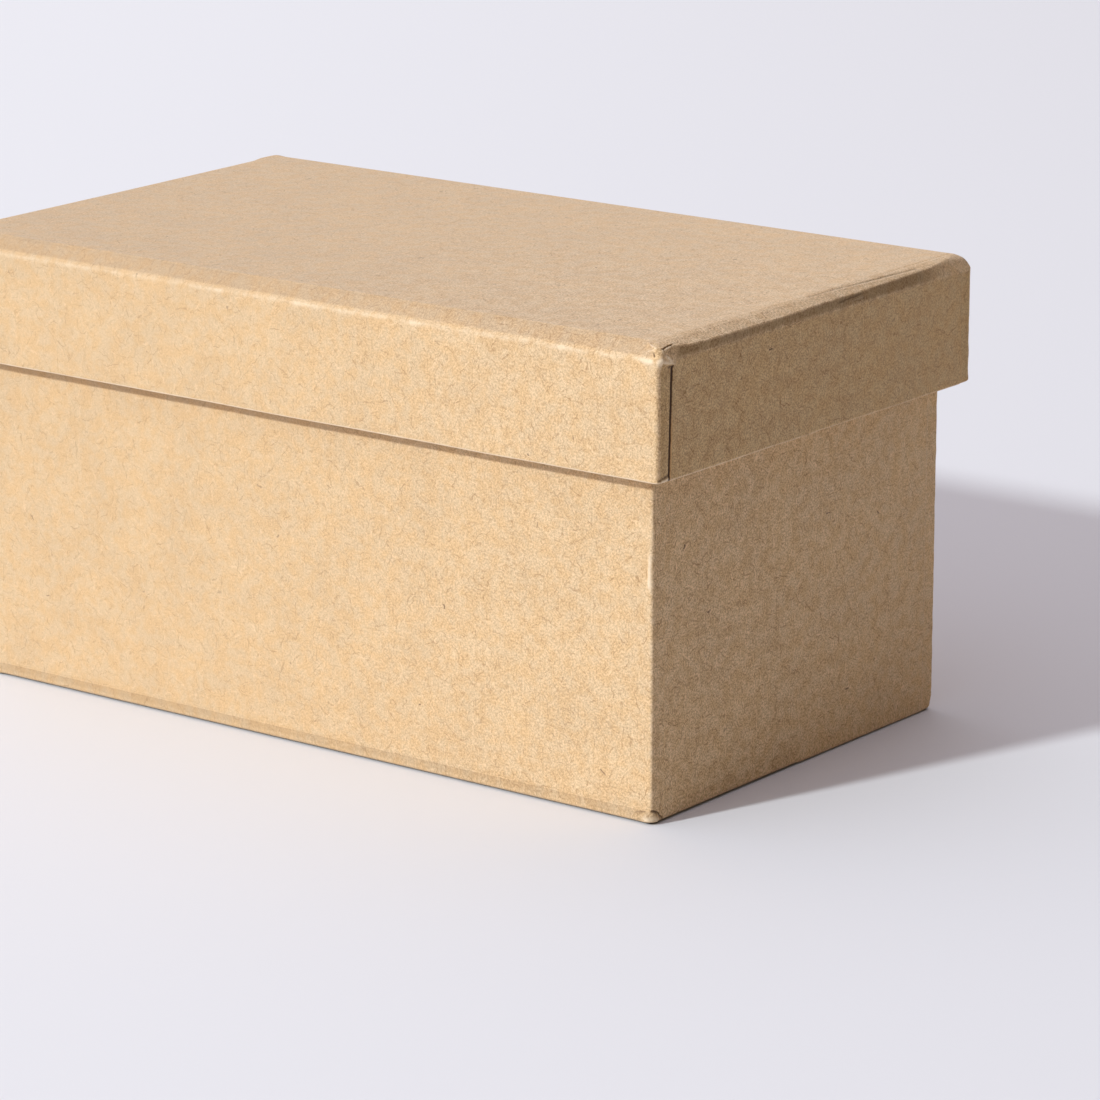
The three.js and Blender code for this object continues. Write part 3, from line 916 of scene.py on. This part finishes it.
# What both covers share, in millimetres
paperStep = (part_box("base_wrap")[1].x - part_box("base_board")[1].x) / mm
glueFilm = 0.03
boardThickness = 2.0
onFloor = 0.01 * mm
lowPoints = [v.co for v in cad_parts["base_wrap"].data.vertices if v.co.z < onFloor]
bevelLeg = (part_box("base_wrap")[1].x - max(p.x for p in lowPoints)) / mm
paperForm = {
    "thickness": paperStep - glueFilm,
    "wallBuild": boardThickness + 2 * paperStep,
    "bevelLeg": bevelLeg,
    "panelMargin": 0.7,
    "panelFold": 0.5,
    "rimFold": 0.35,
    "foldSteps": 8,
    "arcSteps": 8,
    "panelCorner": 0.3,
    "insideCorner": 0.35,
    "cornerReach": 8.0,
    "runSteps": {  # first step, largest step and growth
        "panel": (0.2, 0.3, 1.2),
        "bevel": (0.09, 0.13, 1.1),
        "wall": (0.11, 1.6, 1.12),
        "rim": (0.4, 0.5, 1.2),
        "turnedIn": (0.3, 1.6, 1.3),
    },
    "longSteps": (0.09, 2.4, 1.09),
    "endSteps": (0.09, 0.75, 1.09),
    "fineRim": False,
    "sharpAngle": 50,  # degrees
    "skinGap": 0.03,  # least way between outer and inner skin
    "earShown": 2.8,
    "earArc": (0.2, 1.5),  # radians round the corner
    "earEnd": (0.5, 2.0),
    "seamClear": 0.12,
    "capReach": 0.9,
    "curlReach": 0.5,
    "swayReach": 6.0,
    "wanderScale": 0.7,
    "cockle": 0.05,
    "cockleScale": 0.055,
    "wobbleScale": 0.5,
    "wobbleWidth": 0.9,
    "waveScale": 0.09,
    "waveReach": 3.0,
    "creaseScale": 1.7,
    "creaseWander": 0.14,
    "underFrom": (2.6, 4.5),
    "footRound": 0.36,
    "nearGrain": 0.35,
    "grainFade": 1.15,
    # Nothing of these, unless a cover has its own value
    **dict.fromkeys(("gapDepth", "seamDark", "seamLean", "seamWander", "flareSlope", "undercutDark",
                     "endShade", "earShade", "foldWear", "bevelRub", "footSwell", "footRoll", "footDent",
                     "footShade", "footDark"), 0.0),
}

# Cover of the base: ends pressed flush over the ears, worn upright corners, a roll at the front right foot
basePaper = {
    **paperForm,
    "turnedOver": 1,
    "seed": 11,
    "turnIn": 18.0,
    "wallFold": 0.5,
    "wallCorner": 0.42,
    "earStep": 0.015,
    "seamGap": 0.25,
    "footSwell": 1.0,
    "footRoll": 0.05,
    "footDent": 0.09,
    # Painted shade on the foot's band and a painted contact shadow along its lower edge
    "footShade": 0.18,
    "footDark": 0.9,
    "endRound": 0.8,
    "flapCurl": 0.02,
    "cornerWobble": 0.09,
    "rimWave": 0.05,
    "rimWear": 0.55,
    "cornerWear": 0.45,
    "looseCreases": 0.5,
    "corners": {
        "FrontRight": {
            "flare": [(0.0, 0.0)],
            "round": [(0.0, 0.0)],
            # Ridges carry wear with a painted highlight, valleys painted shade
            "creases": [
                crease((-0.6, 2.05), (0.55, 1.95), 0.16, 0.75, paint=0.8),
                crease((-2.1, 2.5), (-0.9, 2.65), -0.09, 0.2),
                crease((-1.5, 1.8), (-0.6, 1.9), -0.08, 0.2),
                crease((0.1, 2.95), (0.95, 2.6), -0.24, 0.24),
                crease((0.95, 2.6), (1.5, 2.05), -0.24, 0.24),
                crease((1.5, 2.05), (1.7, 1.6), -0.2, 0.22),
                crease((1.4, 2.75), (2.15, 1.8), 0.08, 0.25),
                crease((-0.45, 33.0), (-0.4, 38.0), 0.1, 0.5),
            ],
        },
    },
}

# Cover of the lid: open seams at the ears, darker bevels, a crushed front right corner
lidPaper = {
    **paperForm,
    "turnedOver": -1,
    "seed": 23,
    "turnIn": 12.0,
    "panelFold": 1.3,
    "runSteps": {**paperForm["runSteps"], "wall": (0.11, 0.9, 1.12)},
    "fineRim": True,
    "wallFold": 0.45,
    "wallCorner": 0.75,
    "earStep": 0.14,
    "seamGap": 0.3,
    "gapDepth": 0.01,
    # The seam's gap gets painted shade
    "seamDark": 1.0,
    "seamLean": 0.3,
    "seamWander": 0.12,
    "flareSlope": 0.35,
    "endRound": 0.7,
    # Painted shade under the ends' flare, on the end walls and on the ear beside the corner
    "undercutDark": 0.39,
    "endShade": 0.8,
    "earShade": 0.3,
    "flapCurl": 0.05,
    "cornerWobble": 0.12,
    "rimWave": 0.09,
    "rimWear": 0.9,
    "foldWear": 0.55,
    "cornerWear": 0.15,
    "bevelRub": 0.9,
    "looseCreases": 1.0,
    "corners": {
        "FrontRight": {
            "flare": [(-1.7, 0.0), (-1.25, 0.35), (-0.1, 1.42), (0.5, 1.48), (2.5, 1.5),
                      (6.0, 2.0), (14.0, 2.2), (28.0, 2.1), (37.0, 1.9)],
            "round": [(-2.0, 0.0), (-0.8, 0.2), (0.0, 0.35), (3.0, 0.2), (6.0, 0.0)],
            # Ridges carry wear with a painted highlight, valleys painted shade
            "creases": [
                crease((-1.23, 0.35), (-0.12, 1.41), 0.12, 0.2),
                crease((-4.1, 1.93), (-1.3, 1.6), 0.06, 0.15),
                crease((-1.3, 1.6), (-0.1, 1.48), 0.1, 0.17),
                crease((-0.5, 1.8), (-0.42, 2.3), -0.2, 0.2),
                # A painted highlight along the front's lower fold, near the corner
                crease((-6.0, 2.5), (-1.2, 3.0), 0.08, 0.9, paint=1.1, taper=1.0),
                crease((0.4, 1.52), (1.3, 1.47), -0.2, 0.12),
                crease((1.3, 1.47), (2.5, 1.33), -0.26, 0.14),
                crease((1.8, 1.1), (2.7, 1.1), 0.09, 0.15),
                crease((0.4, 1.78), (2.2, 1.66), 0.16, 0.17),
                crease((0.38, 1.95), (2.2, 3.3), 0.2, 0.18, paint=0.6),
                crease((0.3, 3.0), (2.5, 3.4), 0.3, 0.9, paint=0.3),
                crease((1.9, 2.05), (2.9, 2.5), -0.1, 0.3),
                crease((2.0, 3.85), (2.1, 3.9), -0.08, 0.36, paint=5.0),
                crease((23.2, 0.4), (24.0, 1.1), 0.07, 0.3),
                crease((24.6, 0.7), (25.3, 1.6), 0.07, 0.3),
                crease((25.6, 1.5), (26.4, 2.2), 0.07, 0.3),
            ],
            "rimCreases": [
                crease((0.2, -0.4), (2.5, -0.85), -0.2, 0.25),
                crease((0.9, -0.25), (2.5, -0.35), 0.1, 0.4, paint=1.4),
            ],
        },
        "BackRight": {
            "seamShare": 0.35,
            "underFrom": (2.0, 15.0),
            "flare": [(0.0, 0.0), (3.0, 0.9), (9.0, 1.5), (37.0, 1.9)],
            "round": [(-4.0, 0.0), (-1.5, 0.4), (0.0, 0.6), (2.0, 0.6), (9.0, 0.35), (24.0, 0.0)],
            "creases": [
                crease((12.0, 0.95), (30.0, 0.22), -0.1, 0.2),
                crease((30.0, 0.22), (37.0, 0.2), -0.08, 0.2),
                crease((12.0, 1.3), (30.0, 0.6), 0.05, 0.25),
                crease((27.0, 2.1), (32.2, 2.3), -0.09, 0.2),
                crease((26.6, 2.55), (32.5, 2.6), 0.08, 0.22),
            ],
        },
    },
}

makePaper("base_paper", "base_wrap", "base", basePaper)
makePaper("lid_paper", "lid_wrap", "lid", lidPaper)
print("paper covers made")

# Floor, light and camera
studio = {
    "floorColor": (0.790, 0.785, 0.792, 1.0),
    # Painted shade: the floor darkens away from the light
    "floorShaded": (0.692, 0.682, 0.690, 1.0),
    "shadeWay": (0.8, 0.6, 0.0),  # along the floor, away from the light
    "shadeSpan": (-0.18, 0.26),
    "floorRoughness": 0.9,
    "floorGloss": 0.2,
    "floorSize": 8.0,
    "floorDrop": 0.02 * mm,
    "sunStrength": 2.95,
    "sunColor": (0.87, 0.95, 1.0),
    "sunAzimuth": -18.4,  # degrees, seen from above, 0 in front of the box
    "sunElevation": 29.4,
    "sunSize": 4.0,
    "brightSide": (-0.85, -0.15, 0.5),  # the way towards the brightest part of the sky
    "brightSpan": (-0.35, 0.65),
    "skyBright": (0.92, 0.85, 0.83, 1.0),
    "skyDark": (0.077, 0.062, 0.034, 1.0),
    "skyLow": (0.350, 0.260, 0.095, 1.0),  # the dark side near the horizon
    "lowSpan": (0.0, 0.5),
    "skyTop": (0.065, 0.095, 0.235, 1.0),  # added straight above
    "topSpan": (0.3, 1.0),
    "backdrop": (0.83, 0.82, 0.85, 1.0),
}


def aimed(azimuth, elevation):
    a, e = math.radians(azimuth), math.radians(elevation)
    return Vector((math.sin(a) * math.cos(e), -math.cos(a) * math.cos(e), math.sin(e)))


def makeFloor():
    material, tree, shader = newMaterial("paleFloor")
    where = addNode(tree, "ShaderNodeTexCoord", {}, {}).outputs["Object"]
    # Painted shade: the floor's colour darkens away from the light
    away = dotProduct(tree, where, studio["shadeWay"])
    floorShading = remap(tree, away, *studio["shadeSpan"], 0.0, 1.0)
    color = mixColors(tree, "MIX", floorShading, studio["floorColor"], studio["floorShaded"])
    feed(tree, shader.inputs["Base Color"], color)
    shader.inputs["Roughness"].default_value = studio["floorRoughness"]
    shader.inputs["Specular IOR Level"].default_value = studio["floorGloss"]
    half = studio["floorSize"] / 2
    mesh = bpy.data.meshes.new("floor")
    corners = [(-half, -half, 0), (half, -half, 0), (half, half, 0), (-half, half, 0)]
    mesh.from_pydata(corners, [], [(0, 1, 2, 3)])
    mesh.materials.append(material)
    floor = bpy.data.objects.new("floor", mesh)
    floor.location.z = -studio["floorDrop"]
    bpy.context.scene.collection.objects.link(floor)


def makeSun():
    sun = bpy.data.lights.new("softSun", "SUN")
    sun.energy = studio["sunStrength"]
    sun.color = studio["sunColor"]
    sun.angle = math.radians(studio["sunSize"])
    lamp = bpy.data.objects.new("softSun", sun)
    way = aimed(studio["sunAzimuth"], studio["sunElevation"])
    lamp.rotation_euler = way.to_track_quat("Z", "Y").to_euler()
    lamp.location = way
    bpy.context.scene.collection.objects.link(lamp)


# Sky that is bright on one side, with a plain backdrop where the camera sees it
def makeSky():
    world = bpy.data.worlds.new("paleSky")
    world.use_nodes = True
    tree = world.node_tree
    tree.nodes.clear()
    way = addNode(tree, "ShaderNodeTexCoord", {}, {}).outputs["Generated"]
    bright = Vector(studio["brightSide"]).normalized()
    climb = splitVector(tree, way)["Z"]
    toward = remap(tree, dotProduct(tree, way, bright), *studio["brightSpan"], 0.0, 1.0)
    higher = remap(tree, climb, *studio["lowSpan"], 0.0, 1.0)
    above = remap(tree, climb, *studio["topSpan"], 0.0, 1.0)
    sky = mixColors(tree, "MIX", higher, studio["skyLow"], studio["skyDark"])
    sky = mixColors(tree, "MIX", toward, sky, studio["skyBright"])
    sky = mixColors(tree, "ADD", above, sky, studio["skyTop"])
    seen = addNode(tree, "ShaderNodeLightPath", {}, {}).outputs["Is Camera Ray"]
    color = mixColors(tree, "MIX", seen, sky, studio["backdrop"])
    background = addNode(tree, "ShaderNodeBackground", {}, {"Color": color, "Strength": 1.0})
    output = tree.nodes.new("ShaderNodeOutputWorld")
    tree.links.new(background.outputs[0], output.inputs["Surface"])
    bpy.context.scene.world = world


# Camera fitted to the box's straight edges in the photo, in degrees and millimetres
cameraFit = {
    "azimuth": 37.24,
    "elevation": 15.09,
    "roll": -0.07,
    "distance": 727.3,
    "originRight": -13.97,  # where the box's origin lies from the middle of the view
    "originUp": -20.05,
    "lens": 165.6,
    "sensor": 36.0,
    "clipStart": 0.01,  # metres
    "clipEnd": 50.0,
}


def makeCamera():
    back = aimed(cameraFit["azimuth"], cameraFit["elevation"])
    right = Vector((0, 0, 1)).cross(back).normalized()
    up = back.cross(right)
    roll = math.radians(cameraFit["roll"])
    sideways = right * math.cos(roll) + up * math.sin(roll)
    upright = up * math.cos(roll) - right * math.sin(roll)
    shift = sideways * cameraFit["originRight"] + upright * cameraFit["originUp"]
    place = back * cameraFit["distance"] - shift
    data = bpy.data.cameras.new("camera")
    data.lens = cameraFit["lens"]
    data.sensor_width = cameraFit["sensor"]
    data.clip_start = cameraFit["clipStart"]
    data.clip_end = cameraFit["clipEnd"]
    camera = bpy.data.objects.new("camera", data)
    turned = Matrix((sideways, upright, back)).transposed().to_4x4()
    camera.matrix_world = Matrix.Translation(place * mm) @ turned
    bpy.context.scene.collection.objects.link(camera)
    bpy.context.scene.camera = camera


makeFloor()
makeSun()
makeSky()
makeCamera()
bpy.context.scene.view_settings.view_transform = "Standard"
print("floor, light and camera made")
